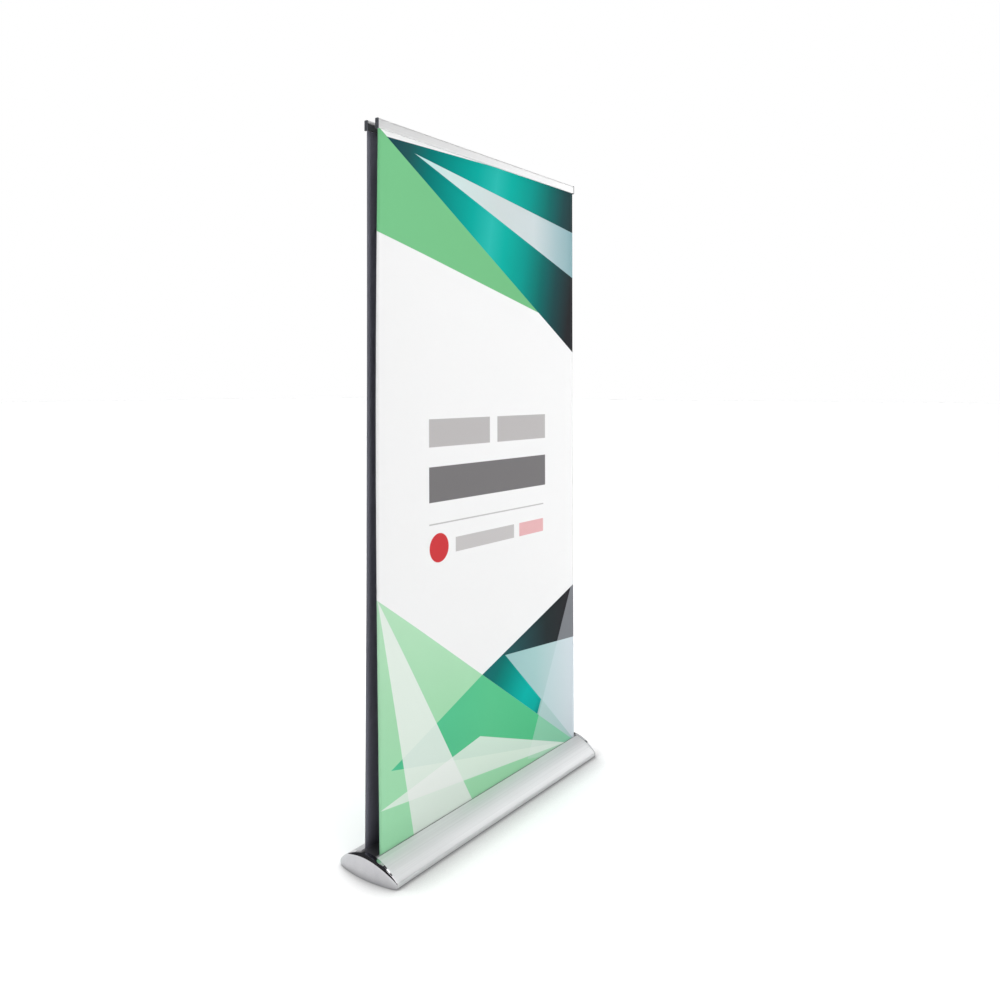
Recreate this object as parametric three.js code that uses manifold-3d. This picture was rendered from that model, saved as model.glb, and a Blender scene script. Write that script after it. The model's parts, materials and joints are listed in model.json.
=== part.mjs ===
// Double-sided roll-up banner stand: a lens-shaped aluminium base with chrome end caps holds two
// sprung rollers, a three-part telescopic pole stands in its middle, and a head on the pole carries
// two snap rails, each of which clamps the top of one printed film.
// Millimetres, +Z up. The origin is on the floor under the middle of the base. X runs along the
// width, and -Y is the front. Each piece is one named mesh.
import * as THREE from 'three';
import { mergeVertices } from 'three/addons/utils/BufferGeometryUtils.js';
import Module from 'manifold-3d';

const wasm = await Module();
wasm.setup();

// ---------------------------------------------------------------- driving dimensions
const GAP = 0.3; // between pieces that touch

// base extrusions
const BODY_HALF_LENGTH = 513.5;
const HALF_DEPTH = 107;
const CROWN_Z = 64;
const CROWN_RADIUS = 141;
const CROWN_CENTRE_Z = CROWN_Z - CROWN_RADIUS;
const FLOOR_Z = 2.5; // underside of the tray, above the rubber pads
const SHEET_METAL = 1.6; // wall of the covers and of the tray
const TRAY_HALF = 94.4;
const SLOT_Y = 27.5; // where each film leaves the base
const SLOT_INNER_EDGE = 24.7;
const SLOT_OUTER_EDGE = 30.6;
const SLOT_Z = 60;
const WEB_INSIDE = 18; // half the inner width of the tray's central box
const BOX_FLOOR = 4.6;
const STRIP_UNDERSIDE = 59.8;
const TONGUE_TIP = 101; // how far the tray's tongues reach under the covers
const SCREW_PORT_HEIGHT = 9;
const SCREW_PORT_WALL = 4.2; // from a cover's screw port to each side of its boss
const NOSE_TOP = { y: 106.2, z: 15.2 }; // where the crown gives way to the upright nose
const SLOT_LIP = { width: 1.6, height: 5, drop: 2.6 };
const FOOT_PAD = { radius: 17, x: 450, y: 70 };

// ends of the base
const PLATE_THICKNESS = 4;
const PLATE_HALF = 84;
const END_X = BODY_HALF_LENGTH + GAP; // where plates and caps start
const CAP_REACH = 533; // outermost point of a cap, at its middle
const CAP_BOW = 16; // how much less it reaches at the front and rear tips
const CAP_WALL = 2.4;
const CAP_PROUD = 1; // the cap's rim stands this far outside the covers

// rollers
const ROLLER_Y = 47;
const ROLLER_Z = 29;
const ROLLER_RADIUS = 15;
const ROLLER_WALL = 1.2;
const ROLLER_HALF = 503;
const FILM_ROLL_RADIUS = 16.2;
const SHAFT_RADIUS = 4;
const TANG = 5.2; // square end of a fixed spring shaft
const BORE_CLEARANCE = 0.3;
const ROLLER_PLUG = { depth: 33, flange: 2.7 };
const SHAFT_DISC = { from: 150, to: 158 }; // disc that centres a shaft's far end in its roller
const SPRING = { inner: 6.5, outer: 8.5, from: 175, to: 460 };

// films
const FILM_HALF_WIDTH = 500;
const FILM_THICKNESS = 0.4;
const FILM_FOOT_Z = 30;

// pole
const LOWER_TUBE = { outer: 12.5, inner: 11.3, foot: 12, top: 752, plug: 15 };
const MIDDLE_TUBE = { outer: 11, inner: 10, foot: 640, top: 1400, plug: 20 };
const UPPER_TUBE = { outer: 9.7, inner: 8.7, foot: 1290, top: 2030, plug: 10 };
const PLUG_FLANGE = 3;
const LOCK_HEIGHT = 44;
const LOCK_RADIUS = 15.4;
const SOCKET_RADIUS = 15;
const SOCKET_BORE_FLOOR = 8.6;
const SOCKET_SCREW_X = 23;
const SOCKET_FLANGE = { radius: 17, x: 14 }; // its two round ends
const FLANGE_TOP = CROWN_Z + GAP + 3;
const HEAD_HALF_WIDTH = 18;

// rails
const RAIL_FOOT_Z = 2033;
const RAIL_HEIGHT = 27;
const RAIL_Y = 20.5; // plane of the clamped film
const RAIL_HALF = 500.5;
const RAIL_CAP_THICKNESS = 3.5;
const SPINE_BACK = -5.5; // inner face of a rail's spine, measured outward from the film
const CHANNEL = { back: -2.3, low: 12.5, high: 19.6 }; // groove that the pole head hooks into
const BEAD = { u: 2.3, v: 24, radius: 1.5 }; // jaw's hinge bead, in the rail's own section
const FILM_TOP_Z = RAIL_FOOT_Z + 19;

// fasteners
const SCREW_HOLE = 1.9;
const SCREW_SHANK = 1.5;
const SCREW_HEAD = { radius: 2.8, height: 1.9 };
const END_SCREW_LENGTH = 20;
const SOCKET_SCREW_LENGTH = 12;
const TRAY_PORT = { y: 24.3, z: 8.8 };
const COVER_PORT = { y: 72.5, z: 35.5 };

// ---------------------------------------------------------------- materials
const finish = (color, roughness, metalness) => () =>
  new THREE.MeshStandardMaterial({ color, roughness, metalness });
const anodised = finish(0xd2d3d5, 0.38, 0.9);
const railMetal = finish(0xcfd0d0, 0.42, 0.85);
const chrome = finish(0xe6e6e8, 0.06, 1);
const steel = finish(0x9a9da1, 0.35, 1);
const blackPlastic = finish(0x1b1c1e, 0.55, 0);
const greyPlastic = finish(0x55575b, 0.5, 0);
const rubber = finish(0x222222, 0.85, 0);
const printedFilm = finish(0xf0f4f1, 0.5, 0);
const greyFilm = finish(0x6f7076, 0.6, 0);

// ---------------------------------------------------------------- geometry helpers
const X_AXIS = new THREE.Vector3(1, 0, 0);
const Y_AXIS = new THREE.Vector3(0, 1, 0);
const Z_AXIS = new THREE.Vector3(0, 0, 1);
const degrees = THREE.MathUtils.degToRad;

// Leaves position only, with shared vertices merged and the empty faces on a lathe's axis dropped.
function positionsOnly(geometry) {
  const plain = geometry.clone();
  plain.deleteAttribute('normal');
  plain.deleteAttribute('uv');
  const merged = mergeVertices(plain, 1e-4);
  const index = merged.getIndex().array;
  const kept = [];
  for (let i = 0; i < index.length; i += 3) {
    const [a, b, c] = index.slice(i, i + 3);
    if (a !== b && b !== c && c !== a) kept.push(a, b, c);
  }
  merged.setIndex(kept);
  return merged;
}

// Turns a closed geometry's faces outward if they point in.
function outward(geometry) {
  const closed = positionsOnly(geometry);
  const corners = closed.getAttribute('position');
  const index = closed.getIndex().array;
  const [a, b, c] = [new THREE.Vector3(), new THREE.Vector3(), new THREE.Vector3()];
  let volume = 0;
  for (let i = 0; i < index.length; i += 3) {
    a.fromBufferAttribute(corners, index[i]);
    b.fromBufferAttribute(corners, index[i + 1]);
    c.fromBufferAttribute(corners, index[i + 2]);
    volume += a.dot(b.cross(c));
  }
  if (volume < 0) {
    for (let i = 0; i < index.length; i += 3) {
      [index[i + 1], index[i + 2]] = [index[i + 2], index[i + 1]];
    }
  }
  return closed;
}

function toSolid(geometry) {
  const closed = outward(geometry);
  return new wasm.Manifold(new wasm.Mesh({
    numProp: 3,
    vertProperties: new Float32Array(closed.getAttribute('position').array),
    triVerts: new Uint32Array(closed.getIndex().array),
  }));
}

function toGeometry(solid) {
  const mesh = solid.getMesh();
  const geometry = new THREE.BufferGeometry();
  geometry.setAttribute('position', new THREE.BufferAttribute(mesh.vertProperties, 3));
  geometry.setIndex(new THREE.BufferAttribute(mesh.triVerts, 1));
  return geometry;
}

const joined = (...parts) => toGeometry(parts.map(toSolid).reduce((sum, part) => sum.add(part)));
const cut = (body, ...tools) =>
  toGeometry(tools.map(toSolid).reduce((rest, tool) => rest.subtract(tool), toSolid(body)));

const outlineShape = (points) =>
  new THREE.Shape(points.map(([across, up]) => new THREE.Vector2(across, up)));

// Extrudes an (x, y) outline along Z, from `from` to `to`.
function alongZ(points, from, to) {
  const options = { depth: to - from, bevelEnabled: false };
  return outward(new THREE.ExtrudeGeometry(outlineShape(points), options).translate(0, 0, from));
}

// Extrudes a (y, z) outline along X, and cuts the holes through it.
function alongX(points, from, to, holes = []) {
  const yzPlane = new THREE.Matrix4().makeBasis(Y_AXIS, Z_AXIS, X_AXIS);
  const bar = alongZ(points, from, to).applyMatrix4(yzPlane);
  const tools = holes.map((hole) => alongZ(hole, from - 1, to + 1).applyMatrix4(yzPlane));
  return tools.length ? cut(bar, ...tools) : bar;
}

function box(low, high) {
  const size = high.map((value, i) => value - low[i]);
  const middle = high.map((value, i) => (value + low[i]) / 2);
  return outward(new THREE.BoxGeometry(...size).translate(...middle));
}

// Turns a closed profile of [radius, height] points around Z.
function turnedZ(profile, segments = 32) {
  const points = profile.map(([radius, height]) => new THREE.Vector2(radius, height));
  return outward(new THREE.LatheGeometry(points, segments).rotateX(Math.PI / 2));
}

// The same profile turned around a line along X that passes through (y, z).
function turnedX(profile, y, z, segments = 28) {
  const points = profile.map(([radius, x]) => new THREE.Vector2(radius, x));
  const geometry = new THREE.LatheGeometry(points, segments).rotateZ(-Math.PI / 2);
  return outward(geometry.translate(0, y, z));
}

// A solid rod's profile and a pipe's profile, between two heights.
const rod = (radius, from, to) => [[0, from], [radius, from], [radius, to], [0, to]];
const pipe = (inner, outer, from, to) =>
  [[inner, from], [outer, from], [outer, to], [inner, to], [inner, from]];

function circle(across, up, radius, segments = 12) {
  return Array.from({ length: segments }, (_, i) => {
    const angle = (2 * Math.PI * i) / segments;
    return [across + radius * Math.cos(angle), up + radius * Math.sin(angle)];
  });
}

// Points of an arc from one angle to another, in degrees, both ends included.
function arc(centre, radius, from, to, steps) {
  return Array.from({ length: steps + 1 }, (_, i) => {
    const angle = degrees(from + ((to - from) * i) / steps);
    return [centre[0] + radius * Math.cos(angle), centre[1] + radius * Math.sin(angle)];
  });
}

// Points of the base's crown, at `inset` below its surface, between two places across it.
function crown(from, to, steps, inset = 0) {
  const radius = CROWN_RADIUS - inset;
  return Array.from({ length: steps + 1 }, (_, i) => {
    const y = from + ((to - from) * i) / steps;
    return [y, CROWN_CENTRE_Z + Math.sqrt(radius * radius - y * y)];
  });
}

const mirrored = (points, side) => points.map(([y, z]) => [side * y, z]);

// ---------------------------------------------------------------- base extrusions
// Floor with a tongue under each cover, two webs and the crown strip between the slots, all one
// extrusion. The pole's socket drops through a hole in the strip.
function trayGeometry() {
  const floorTop = FLOOR_Z + SHEET_METAL + 0.2;
  const webOutside = WEB_INSIDE + SHEET_METAL;
  const portSide = TRAY_PORT.y + 4.7;
  const half = [
    [TRAY_HALF, FLOOR_Z],
    [TRAY_HALF, floorTop + 0.3],
    [TONGUE_TIP, floorTop + 0.3],
    [TONGUE_TIP, floorTop + 1.8],
    [TRAY_HALF - SHEET_METAL, floorTop + 1.8],
    [TRAY_HALF - SHEET_METAL, floorTop],
    [portSide, floorTop],
    [portSide, floorTop + SCREW_PORT_HEIGHT],
    [webOutside, floorTop + SCREW_PORT_HEIGHT],
    [webOutside, STRIP_UNDERSIDE],
    [SLOT_INNER_EDGE, STRIP_UNDERSIDE],
  ];
  const strip = crown(SLOT_INNER_EDGE, -SLOT_INNER_EDGE, 6);
  const outline = [...half, ...strip, ...mirrored(half, -1).reverse()];
  const hollow = [
    [-WEB_INSIDE, BOX_FLOOR],
    [WEB_INSIDE, BOX_FLOOR],
    [WEB_INSIDE, STRIP_UNDERSIDE + 0.3],
    [-WEB_INSIDE, STRIP_UNDERSIDE + 0.3],
  ];
  const ports = [-1, 1].map((side) => circle(side * TRAY_PORT.y, TRAY_PORT.z, SCREW_HOLE));
  const extrusion = alongX(outline, -BODY_HALF_LENGTH, BODY_HALF_LENGTH, [hollow, ...ports]);
  const [under, over] = [CROWN_Z - 10, CROWN_Z + 5];
  const poleHole = turnedZ(rod(SOCKET_RADIUS + GAP, under, over));
  const screwHoles = [-1, 1].map((side) =>
    turnedZ(rod(SCREW_HOLE, under, over), 12).translate(side * SOCKET_SCREW_X, 0, 0));
  return cut(extrusion, poleHole, ...screwHoles);
}

// One curved cover, from its slot round the nose to the lip that the tray's tongue holds down.
function coverGeometry(side) {
  const boss = {
    low: COVER_PORT.z - SCREW_PORT_WALL,
    near: COVER_PORT.y - SCREW_PORT_WALL,
    far: COVER_PORT.y + SCREW_PORT_WALL,
  };
  const outside = [
    ...crown(SLOT_OUTER_EDGE, 104, 14),
    [NOSE_TOP.y, NOSE_TOP.z],
    [HALF_DEPTH, 12],
    [HALF_DEPTH, 6],
    [106.1, 3.6],
    [103.6, FLOOR_Z],
    [TRAY_HALF + 0.6, FLOOR_Z],
  ];
  const lip = [
    [TRAY_HALF + 0.6, FLOOR_Z + SHEET_METAL],
    [103.2, FLOOR_Z + SHEET_METAL],
    [104.9, 5],
    [HALF_DEPTH - SHEET_METAL, 6.5],
    [HALF_DEPTH - SHEET_METAL, 11.7],
    [104.6, 14.3],
  ];
  const inside = [
    ...crown(102.6, boss.far, 4, SHEET_METAL),
    [boss.far, boss.low],
    [boss.near, boss.low],
    ...crown(boss.near, SLOT_OUTER_EDGE, 8, SHEET_METAL),
  ];
  const outline = mirrored([...outside, ...lip, ...inside], side);
  const hole = circle(side * COVER_PORT.y, COVER_PORT.z, SCREW_HOLE);
  return alongX(outline, -BODY_HALF_LENGTH, BODY_HALF_LENGTH, [hole]);
}

// A black trim on one edge of a slot, beside the film.
function slotLipGeometry(side, edge) {
  const trims = {
    inner: [SLOT_INNER_EDGE + GAP, SLOT_INNER_EDGE + SLOT_LIP.width],
    outer: [SLOT_OUTER_EDGE - SLOT_LIP.width, SLOT_OUTER_EDGE - GAP],
  };
  const [near, far] = trims[edge];
  const top = CROWN_Z - SLOT_LIP.drop;
  const low = top - SLOT_LIP.height;
  const outline = [[near, low], [far, low], [far, top], [near, top]];
  return alongX(mirrored(outline, side), -BODY_HALF_LENGTH, BODY_HALF_LENGTH);
}

// ---------------------------------------------------------------- ends of the base
// The plate inside a cap: it carries the rollers, and screws hold it to the tray and the covers.
function endPlateGeometry(side) {
  const outline = [
    [-PLATE_HALF, 5.2],
    [PLATE_HALF, 5.2],
    ...crown(PLATE_HALF, -PLATE_HALF, 14, 3.4),
  ];
  const [from, to] = side < 0
    ? [-END_X - PLATE_THICKNESS, -END_X]
    : [END_X, END_X + PLATE_THICKNESS];
  const drill = (radius, y, z, segments) => turnedX(rod(radius, from - 1, to + 1), y, z, segments);
  const half = TANG / 2 + BORE_CLEARANCE;
  const holes = [-1, 1].flatMap((y) => {
    const centre = y * ROLLER_Y;
    const seat = side < 0
      ? drill(SHAFT_RADIUS + BORE_CLEARANCE, centre, ROLLER_Z, 24)
      : box([from - 1, centre - half, ROLLER_Z - half], [to + 1, centre + half, ROLLER_Z + half]);
    return [
      seat,
      drill(SCREW_HOLE, y * TRAY_PORT.y, TRAY_PORT.z, 12),
      drill(SCREW_HOLE, y * COVER_PORT.y, COVER_PORT.z, 12),
    ];
  });
  return cut(alongX(outline, from, to), ...holes);
}

// The closed outline of a cap's rim, grown by `grow` from the covers' outline.
function rimOutline(grow) {
  const tip = HALF_DEPTH + grow;
  const low = FLOOR_Z - grow;
  const radius = CROWN_RADIUS + grow;
  const top = Array.from({ length: 17 }, (_, i) => {
    const y = 103.5 * Math.cos((Math.PI * i) / 16) * (1 + grow / CROWN_RADIUS);
    return [y, CROWN_CENTRE_Z + Math.sqrt(radius * radius - y * y)];
  });
  const nose = [[tip - 0.7, 15], [tip, 11.5], [tip, 6.5], [tip - 1.2, low + 1.2], [tip - 4, low]];
  const bottom = [60, 20, -20, -60].map((y) => [y, low]);
  return [...bottom.reverse(), ...[...nose].reverse(), ...top, ...mirrored(nose, -1)];
}

// Skins a row of rings with equal point counts, and closes the first and last with a centre point.
function loft(rings, firstCentre, lastCentre) {
  const count = rings[0].length;
  const positions = [firstCentre, ...rings.flat(), lastCentre].flat();
  const last = 1 + rings.length * count;
  const at = (ring, i) => 1 + ring * count + (i % count);
  const index = [];
  for (let i = 0; i < count; i += 1) {
    index.push(0, at(0, i + 1), at(0, i));
    index.push(last, at(rings.length - 1, i), at(rings.length - 1, i + 1));
    for (let ring = 0; ring + 1 < rings.length; ring += 1) {
      index.push(at(ring, i), at(ring, i + 1), at(ring + 1, i + 1));
      index.push(at(ring, i), at(ring + 1, i + 1), at(ring + 1, i));
    }
  }
  const geometry = new THREE.BufferGeometry();
  geometry.setAttribute('position', new THREE.Float32BufferAttribute(positions, 3));
  geometry.setIndex(index);
  return outward(geometry);
}

// A hollow cap, bowed in plan: a band that carries on from the covers, a rounded shoulder, and a
// broad face. Each ring is the rim drawn in towards FACE_FOOT, at a share of the way out.
function endCapGeometry(side) {
  const FACE_FOOT = 6;
  const FACE_INSET = { across: 0.12, up: 0.135 };
  const BAND_SHARE = 0.5;
  const MIDDLE = [0, 28];
  const reach = (y, wall) => CAP_REACH - wall - CAP_BOW * (y / HALF_DEPTH) ** 2;
  const place = (y, z, share, wall) =>
    [side * (END_X + share * (reach(y, wall) - END_X)), y, z];
  const ring = (outline, share, inset, wall) =>
    outline.map(([y, z]) => place(
      y * (1 - inset * FACE_INSET.across),
      FACE_FOOT + (z - FACE_FOOT) * (1 - inset * FACE_INSET.up),
      share,
      wall,
    ));
  const faceRing = (outline, scale, wall) =>
    outline.map(([y, z]) => {
      const across = y * (1 - FACE_INSET.across) * scale;
      const up = FACE_FOOT + (z - FACE_FOOT) * (1 - FACE_INSET.up);
      return place(across, MIDDLE[1] + (up - MIDDLE[1]) * scale, 1, wall);
    });
  const shoulder = (outline, wall, steps) => steps.map((angle) => ring(
    outline,
    BAND_SHARE + (1 - BAND_SHARE) * Math.sin(degrees(angle)),
    1 - Math.cos(degrees(angle)),
    wall,
  ));
  const skin = (outline, wall, angles, scales) => [
    ring(outline, 0, 0, wall),
    ...shoulder(outline, wall, angles),
    ...scales.map((scale) => faceRing(outline, scale, wall)),
  ];
  const outer = skin(rimOutline(CAP_PROUD), 0, [0, 30, 60, 90], [0.65, 0.3]);
  const inner = skin(rimOutline(CAP_PROUD - CAP_WALL), CAP_WALL, [0, 45, 90], [0.5]);
  const centre = (wall) => place(...MIDDLE, 1, wall);
  return loft([...outer.reverse(), ...inner], centre(0), centre(CAP_WALL));
}

// A pan-head screw that points inward along X.
function endScrewGeometry(side, y, z) {
  const seat = END_X + PLATE_THICKNESS + GAP;
  const profile = [
    [0, seat - END_SCREW_LENGTH],
    [SCREW_SHANK, seat - END_SCREW_LENGTH],
    [SCREW_SHANK, seat],
    [SCREW_HEAD.radius, seat],
    [SCREW_HEAD.radius * 0.8, seat + SCREW_HEAD.height],
    [0, seat + SCREW_HEAD.height],
  ];
  const along = profile.map(([radius, x]) => [radius, side * x]);
  return turnedX(along, y, z, 10);
}

// ---------------------------------------------------------------- pole socket
// A moulded cup for the pole's foot, with a flange screwed to the crown strip.
function socketGeometry() {
  const bore = LOWER_TUBE.outer + BORE_CLEARANCE;
  const cup = turnedZ(rod(SOCKET_RADIUS, BOX_FLOOR + GAP, CROWN_Z + GAP + 0.5));
  const { radius, x } = SOCKET_FLANGE;
  const ends = [...arc([x, 0], radius, -90, 90, 10), ...arc([-x, 0], radius, 90, 270, 10)];
  const flange = alongZ(ends, CROWN_Z + GAP, FLANGE_TOP);
  const holes = [-1, 1].map((side) =>
    turnedZ(rod(SCREW_HOLE, CROWN_Z, FLANGE_TOP + 1), 12).translate(side * SOCKET_SCREW_X, 0, 0));
  return cut(joined(cup, flange), turnedZ(rod(bore, SOCKET_BORE_FLOOR, FLANGE_TOP + 1)), ...holes);
}

function socketScrewGeometry(side) {
  const seat = FLANGE_TOP + GAP;
  const profile = [
    [0, seat - SOCKET_SCREW_LENGTH],
    [SCREW_SHANK, seat - SOCKET_SCREW_LENGTH],
    [SCREW_SHANK, seat],
    [SCREW_HEAD.radius, seat],
    [SCREW_HEAD.radius * 0.8, seat + SCREW_HEAD.height],
    [0, seat + SCREW_HEAD.height],
  ];
  return turnedZ(profile, 10).translate(side * SOCKET_SCREW_X, 0, 0);
}

// ---------------------------------------------------------------- rollers
function idlerPlugGeometry(y) {
  const tubeBore = ROLLER_RADIUS - ROLLER_WALL - GAP;
  const flange = ROLLER_HALF + GAP;
  const flangeEnd = flange + ROLLER_PLUG.flange;
  const profile = [
    [0, -ROLLER_HALF + ROLLER_PLUG.depth],
    [tubeBore, -ROLLER_HALF + ROLLER_PLUG.depth],
    [tubeBore, -flange],
    [ROLLER_RADIUS, -flange],
    [ROLLER_RADIUS, -flangeEnd],
    [SHAFT_RADIUS, -flangeEnd],
    [SHAFT_RADIUS, -END_X - PLATE_THICKNESS + 0.8],
    [0, -END_X - PLATE_THICKNESS + 0.8],
  ];
  return turnedX(profile, y, ROLLER_Z);
}

function springPlugGeometry(y) {
  const tubeBore = ROLLER_RADIUS - ROLLER_WALL - GAP;
  const shaftBore = SHAFT_RADIUS + BORE_CLEARANCE;
  const flange = ROLLER_HALF + GAP;
  const flangeEnd = flange + ROLLER_PLUG.flange;
  const profile = [
    [shaftBore, ROLLER_HALF - ROLLER_PLUG.depth],
    [tubeBore, ROLLER_HALF - ROLLER_PLUG.depth],
    [tubeBore, flange],
    [ROLLER_RADIUS, flange],
    [ROLLER_RADIUS, flangeEnd],
    [shaftBore, flangeEnd],
    [shaftBore, ROLLER_HALF - ROLLER_PLUG.depth],
  ];
  return turnedX(profile, y, ROLLER_Z);
}

// The shaft that the spring winds against: a disc centres its far end in the roller, and a square
// tang holds its near end in the right end plate.
function springShaftGeometry(y) {
  const disc = ROLLER_RADIUS - ROLLER_WALL - 0.6;
  const tangStart = END_X - 1.8;
  const profile = [
    [0, SHAFT_DISC.from],
    [disc, SHAFT_DISC.from],
    [disc, SHAFT_DISC.to],
    [SHAFT_RADIUS, SHAFT_DISC.to],
    [SHAFT_RADIUS, tangStart],
    [0, tangStart],
  ];
  const low = [tangStart - 1, y - TANG / 2, ROLLER_Z - TANG / 2];
  const high = [END_X + PLATE_THICKNESS - 0.3, y + TANG / 2, ROLLER_Z + TANG / 2];
  return joined(turnedX(profile, y, ROLLER_Z), box(low, high));
}

// ---------------------------------------------------------------- pole
// A ribbed sleeve: it sits over the top of `below` and grips `inside`.
function twistLockGeometry(below, inside) {
  const ribs = Array.from({ length: 48 }, (_, i) => {
    const angle = (2 * Math.PI * i) / 48;
    const radius = LOCK_RADIUS + (i % 4 < 2 ? 0.6 : 0);
    return [radius * Math.cos(angle), radius * Math.sin(angle)];
  });
  const foot = below.top - LOCK_HEIGHT / 2;
  const shelf = below.top + GAP;
  const sleeve = alongZ(ribs, foot, foot + LOCK_HEIGHT);
  const wide = turnedZ(rod(below.outer + BORE_CLEARANCE, foot - 1, shelf), 24);
  const narrow = turnedZ(rod(inside.outer + BORE_CLEARANCE, foot, foot + LOCK_HEIGHT + 1), 24);
  return cut(sleeve, wide, narrow);
}

const tubeGeometry = (tube) => turnedZ(pipe(tube.inner, tube.outer, tube.foot, tube.top), 24);

// A plug in the foot of a tube, with a flange under the tube's end.
function footPlugGeometry(tube) {
  const stem = tube.inner - GAP;
  const profile = [
    [0, tube.foot - PLUG_FLANGE],
    [tube.outer - 0.2, tube.foot - PLUG_FLANGE],
    [tube.outer - 0.2, tube.foot - GAP],
    [stem, tube.foot - GAP],
    [stem, tube.foot + tube.plug],
    [0, tube.foot + tube.plug],
  ];
  return turnedZ(profile, 24);
}

// The head on top of the pole: its two tongues lie in the grooves of the rails.
function poleHeadGeometry() {
  const stem = turnedZ(rod(UPPER_TUBE.inner - GAP, UPPER_TUBE.top - 30, UPPER_TUBE.top + 1), 24);
  const collar = turnedZ(rod(12, UPPER_TUBE.top + GAP, UPPER_TUBE.top + 5), 24);
  const inner = RAIL_Y + SPINE_BACK - GAP;
  const block = box(
    [-HEAD_HALF_WIDTH, -inner, UPPER_TUBE.top + 4],
    [HEAD_HALF_WIDTH, inner, RAIL_FOOT_Z + CHANNEL.high - GAP],
  );
  const reach = RAIL_Y + CHANNEL.back - GAP;
  const tongues = box(
    [-HEAD_HALF_WIDTH, -reach, RAIL_FOOT_Z + CHANNEL.low + GAP],
    [HEAD_HALF_WIDTH, reach, RAIL_FOOT_Z + CHANNEL.high - GAP],
  );
  return joined(stem, collar, block, tongues);
}

// ---------------------------------------------------------------- rails
// Rail sections are drawn outward from the film (u) and up from the rail's foot (v).
const toBase = (points, side) => points.map(([u, v]) => [side * (RAIL_Y + u), RAIL_FOOT_Z + v]);
const BEAD_CENTRE = [BEAD.u, BEAD.v];

// The inner half of a rail: film backing, hook groove, and the cradle over the jaw's bead.
function railSpineGeometry(side) {
  const face = -0.5;
  const section = [
    [face, 0],
    [face, 21.4],
    ...arc(BEAD_CENTRE, BEAD.radius + GAP, 200, 5, 10),
    ...arc(BEAD_CENTRE, BEAD.radius + 1.4, 5, 90, 5),
    [SPINE_BACK, RAIL_HEIGHT - 0.1],
    [SPINE_BACK, CHANNEL.high],
    [CHANNEL.back, CHANNEL.high],
    [CHANNEL.back, CHANNEL.low],
    [SPINE_BACK, CHANNEL.low],
    [SPINE_BACK, 0],
  ];
  const hollow = [[-4.3, 1.3], [-1.7, 1.3], [-1.7, 11.2], [-4.3, 11.2]];
  return alongX(toBase(section, side), -RAIL_HALF, RAIL_HALF, [toBase(hollow, side)]);
}

// The outer half of a rail: it hangs from its bead and presses the film with its toe.
function railJawGeometry(side) {
  const shoulder = BEAD.radius + 1.7;
  const section = [
    [5.3, 0.3],
    ...arc(BEAD_CENTRE, shoulder, -20, -57, 2),
    ...arc(BEAD_CENTRE, BEAD.radius, -57, 245, 12),
    [1.9, 21.5],
    [3.8, 20.3],
    [3.8, 2.3],
    [0.5, 1.9],
    [0.5, 0.3],
  ];
  return alongX(toBase(section, side), -RAIL_HALF, RAIL_HALF);
}

function railCapGeometry(side, end) {
  const corner = 1.5;
  const [near, far, low, high] = [SPINE_BACK - 0.2, 5.6, -1.5, RAIL_HEIGHT + 0.4];
  const section = [
    ...arc([far - corner, low + corner], corner, -90, 0, 3),
    ...arc([far - corner, high - corner], corner, 0, 90, 3),
    ...arc([near + corner, high - corner], corner, 90, 180, 3),
    ...arc([near + corner, low + corner], corner, 180, 270, 3),
  ];
  const start = RAIL_HALF + GAP;
  const [from, to] = end < 0
    ? [-start - RAIL_CAP_THICKNESS, -start]
    : [start, start + RAIL_CAP_THICKNESS];
  return alongX(toBase(section, side), from, to);
}

// ---------------------------------------------------------------- films
// The pulled-out length of a film, from its roll through the slot to the rail.
function filmGeometry(side) {
  const half = FILM_THICKNESS / 2;
  const foot = ROLLER_Y - FILM_ROLL_RADIUS - GAP - half;
  const path = [[foot, FILM_FOOT_Z], [SLOT_Y, SLOT_Z], [RAIL_Y, RAIL_FOOT_Z], [RAIL_Y, FILM_TOP_Z]];
  const outer = path.map(([y, z]) => [y + half, z]);
  const inner = path.map(([y, z]) => [y - half, z]).reverse();
  return alongX(mirrored([...outer, ...inner], side), -FILM_HALF_WIDTH, FILM_HALF_WIDTH);
}

// ---------------------------------------------------------------- assembly
const stand = new THREE.Group();
const SIDES = { front: -1, rear: 1 };
const ENDS = { left: -1, right: 1 };

function add(name, geometry, material) {
  const mesh = new THREE.Mesh(geometry, material());
  mesh.name = name;
  stand.add(mesh);
}

add('base_tray', trayGeometry(), anodised);
add('pole_socket', socketGeometry(), blackPlastic);

for (const [end, x] of Object.entries(ENDS)) {
  add(`${end}_end_plate`, endPlateGeometry(x), steel);
  add(`${end}_end_cap`, endCapGeometry(x), chrome);
  add(`socket_screw_${end}`, socketScrewGeometry(x), steel);
  for (const [side, y] of Object.entries(SIDES)) {
    add(`${end}_${side}_tray_screw`, endScrewGeometry(x, y * TRAY_PORT.y, TRAY_PORT.z), steel);
    add(`${end}_${side}_cover_screw`, endScrewGeometry(x, y * COVER_PORT.y, COVER_PORT.z), steel);
    const pad = turnedZ(rod(FOOT_PAD.radius, 0, FLOOR_Z - GAP), 24);
    add(`${end}_${side}_foot_pad`, pad.translate(x * FOOT_PAD.x, y * FOOT_PAD.y, 0), rubber);
  }
}

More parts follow.
